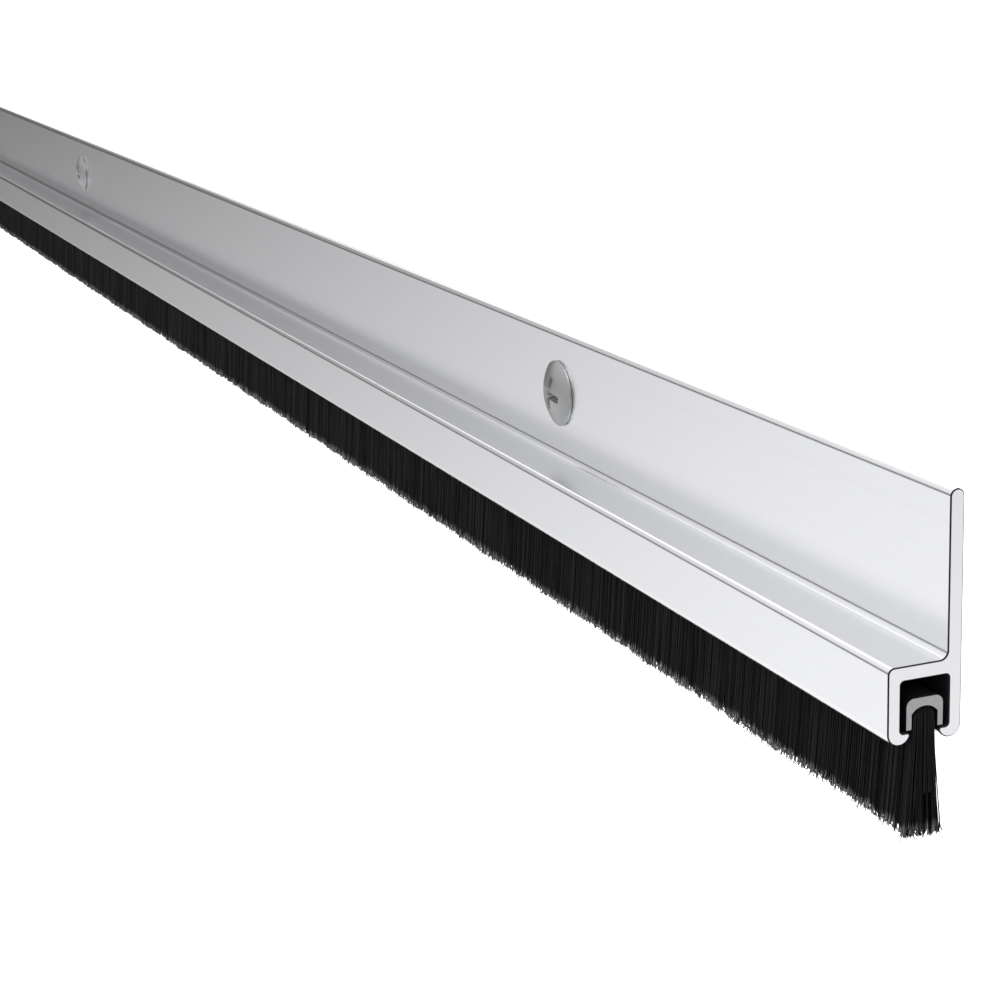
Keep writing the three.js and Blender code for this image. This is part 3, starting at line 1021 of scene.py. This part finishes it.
def make_floor(studio):
    """A pale floor that only the camera sees, so that the sky alone lights the metal."""
    bm = bmesh.new()
    bmesh.ops.create_grid(bm, x_segments=1, y_segments=1, size=30)
    mesh = bpy.data.meshes.new("floor")
    bm.to_mesh(mesh)
    bm.free()
    material, make = new_material("pale_floor")
    pale = make.node("ShaderNodeEmission", None, {"Color": (1, 1, 1, 1), "Strength": 0.9})
    matt = make.node("ShaderNodeBsdfDiffuse", None, {"Color": (0.9, 0.9, 0.9, 1)})
    both = make.node("ShaderNodeAddShader", None, {0: pale[0], 1: matt[0]})
    make.node("ShaderNodeOutputMaterial", None, {"Surface": both[0]})
    mesh.materials.append(material)
    floor = bpy.data.objects.new("floor", mesh)
    bpy.context.scene.collection.objects.link(floor)
    floor.location.z = CAD_BOX[0].z - studio.floor_drop
    floor.visible_glossy = False
    floor.visible_diffuse = False


def make_sky(studio):
    """Soft light all round the bar, fading towards its two ends, with a dark line at eye level. A
    direction is told by how far off the bar's axis it points, and by how high or low it lies."""
    world = bpy.data.worlds.new("studio")
    world.use_nodes = True
    bpy.context.scene.world = world
    make = Recipe(world.node_tree)
    direction = make.node("ShaderNodeTexCoord")["Generated"]
    parts = make.node("ShaderNodeSeparateXYZ", None, {0: direction})
    off_axis = (parts[1] * parts[1] + parts[2] * parts[2]) ** 0.5
    rise = parts[2] / off_axis
    aside = parts[1] / off_axis
    above = rise.over(0.0)
    ground_fade = make.ramp(off_axis, (0.0, 0.1), (0.15, 0.13), (0.21, 0.23), (0.27, 0.36),
                            (0.37, 0.57), (0.47, 0.78), (0.6, 1.0), (0.64, 0.97),
                            (0.74, 0.74), (1.0, 0.55))
    sky_fade = make.ramp(off_axis, (0.0, 0.05), (0.15, 0.02), (0.21, 0.03), (0.27, 0.1),
                         (0.37, 0.3), (0.47, 0.62), (0.6, 0.94), (0.64, 0.91), (0.74, 0.72),
                         (1.0, 0.55))
    fade = ground_fade * (1 - above) + sky_fade * above
    band = make.ramp(abs(rise), (0.0, 0.03), (0.1, 0.12), (0.2, 0.5), (0.33, 0.9), (1.0, 1.0))
    front = make.ramp(off_axis, (0.64, 0.0), (0.85, 0.85))
    band = band + (1 - band) * front
    softbox = make.ramp((rise + aside * 0.6) * 0.8, (0.72, 0.0), (0.83, 1.0)) * above
    seen = make.node("ShaderNodeLightPath")["Is Camera Ray"]
    light = make.node("ShaderNodeBackground", None,
                      {0: fade * band + softbox * (ground_fade * 0.75 + 0.1),
                       1: studio.sky})
    backdrop = make.node("ShaderNodeBackground", None, {0: (1, 1, 1, 1), 1: 1.0})
    both = make.node("ShaderNodeMixShader", None, {0: seen, 1: light[0], 2: backdrop[0]})
    make.node("ShaderNodeOutputWorld", None, {0: both[0]})


def make_lights(studio):
    """A softbox over the near end."""
    data = bpy.data.lights.new("softbox", "AREA")
    data.shape = "RECTANGLE"
    data.size, data.size_y = 0.5, 0.25
    data.energy = studio.key
    light = bpy.data.objects.new("softbox", data)
    bpy.context.scene.collection.objects.link(light)
    light.location = (HALF_LENGTH - 0.05, -0.35, 0.45)
    aim = Vector((HALF_LENGTH - 0.08, 0, 0)) - light.location
    light.rotation_mode = "QUATERNION"
    light.rotation_quaternion = aim.to_track_quat("-Z", "Y")


# ---- operators ----

def settings(context):
    scene = context.scene
    return scene.sweep_sizes, scene.sweep_finishes


class SWEEP_OT_carrier(bpy.types.Operator):
    """Make the aluminium carrier with its screw slots"""

    bl_idname = "sweep.carrier"
    bl_label = "Carrier"

    def execute(self, context):
        make_carrier(*settings(context))
        return {"FINISHED"}


class SWEEP_OT_holder(bpy.types.Operator):
    """Make the U-shaped brush holder"""

    bl_idname = "sweep.holder"
    bl_label = "Brush holder"

    def execute(self, context):
        make_holder(*settings(context))
        return {"FINISHED"}


class SWEEP_OT_core_wire(bpy.types.Operator):
    """Make the wire that the bristles are folded over"""

    bl_idname = "sweep.core_wire"
    bl_label = "Core wire"

    def execute(self, context):
        make_core_wire(context.scene.sweep_finishes)
        return {"FINISHED"}


class SWEEP_OT_bristles(bpy.types.Operator):
    """Make the folded roots and the free filaments of the brush"""

    bl_idname = "sweep.bristles"
    bl_label = "Bristles"

    def execute(self, context):
        make_bristles(*settings(context))
        return {"FINISHED"}


class SWEEP_OT_screws(bpy.types.Operator):
    """Make the three cross-recess screws"""

    bl_idname = "sweep.screws"
    bl_label = "Screws"

    def execute(self, context):
        make_screws(*settings(context))
        return {"FINISHED"}


class SWEEP_OT_studio(bpy.types.Operator):
    """Make the camera, the floor and the light"""

    bl_idname = "sweep.studio"
    bl_label = "Studio"

    def execute(self, context):
        studio = context.scene.sweep_studio
        make_camera(studio)
        make_floor(studio)
        make_sky(studio)
        make_lights(studio)
        context.scene.view_settings.view_transform = "Standard"
        return {"FINISHED"}


class SWEEP_PT_panel(bpy.types.Panel):
    """The sweep's operators and settings"""

    bl_label = "Brush Door Sweep"
    bl_space_type = "VIEW_3D"
    bl_region_type = "UI"
    bl_category = "Sweep"

    def draw(self, context):
        for operator in OPERATORS:
            self.layout.operator(operator.bl_idname)
        for group in (context.scene.sweep_sizes, context.scene.sweep_finishes,
                      context.scene.sweep_studio):
            box = self.layout.box()
            for name in group.bl_rna.properties.keys():
                if name not in ("rna_type", "name"):
                    box.prop(group, name)


OPERATORS = (SWEEP_OT_studio, SWEEP_OT_carrier, SWEEP_OT_holder, SWEEP_OT_core_wire,
             SWEEP_OT_bristles, SWEEP_OT_screws)
GROUPS = {"sweep_sizes": SweepSizes, "sweep_finishes": SweepFinishes, "sweep_studio": SweepStudio}


def register():
    for cls in (*GROUPS.values(), *OPERATORS, SWEEP_PT_panel):
        bpy.utils.register_class(cls)
    for name, group in GROUPS.items():
        setattr(bpy.types.Scene, name, bpy.props.PointerProperty(type=group))


def unregister():
    for name in GROUPS:
        delattr(bpy.types.Scene, name)
    for cls in (SWEEP_PT_panel, *reversed(OPERATORS), *reversed(list(GROUPS.values()))):
        bpy.utils.unregister_class(cls)


def main():
    register()
    for operator in OPERATORS:
        getattr(bpy.ops.sweep, operator.bl_idname.split(".")[1])()


if __name__ == "__main__":
    main()
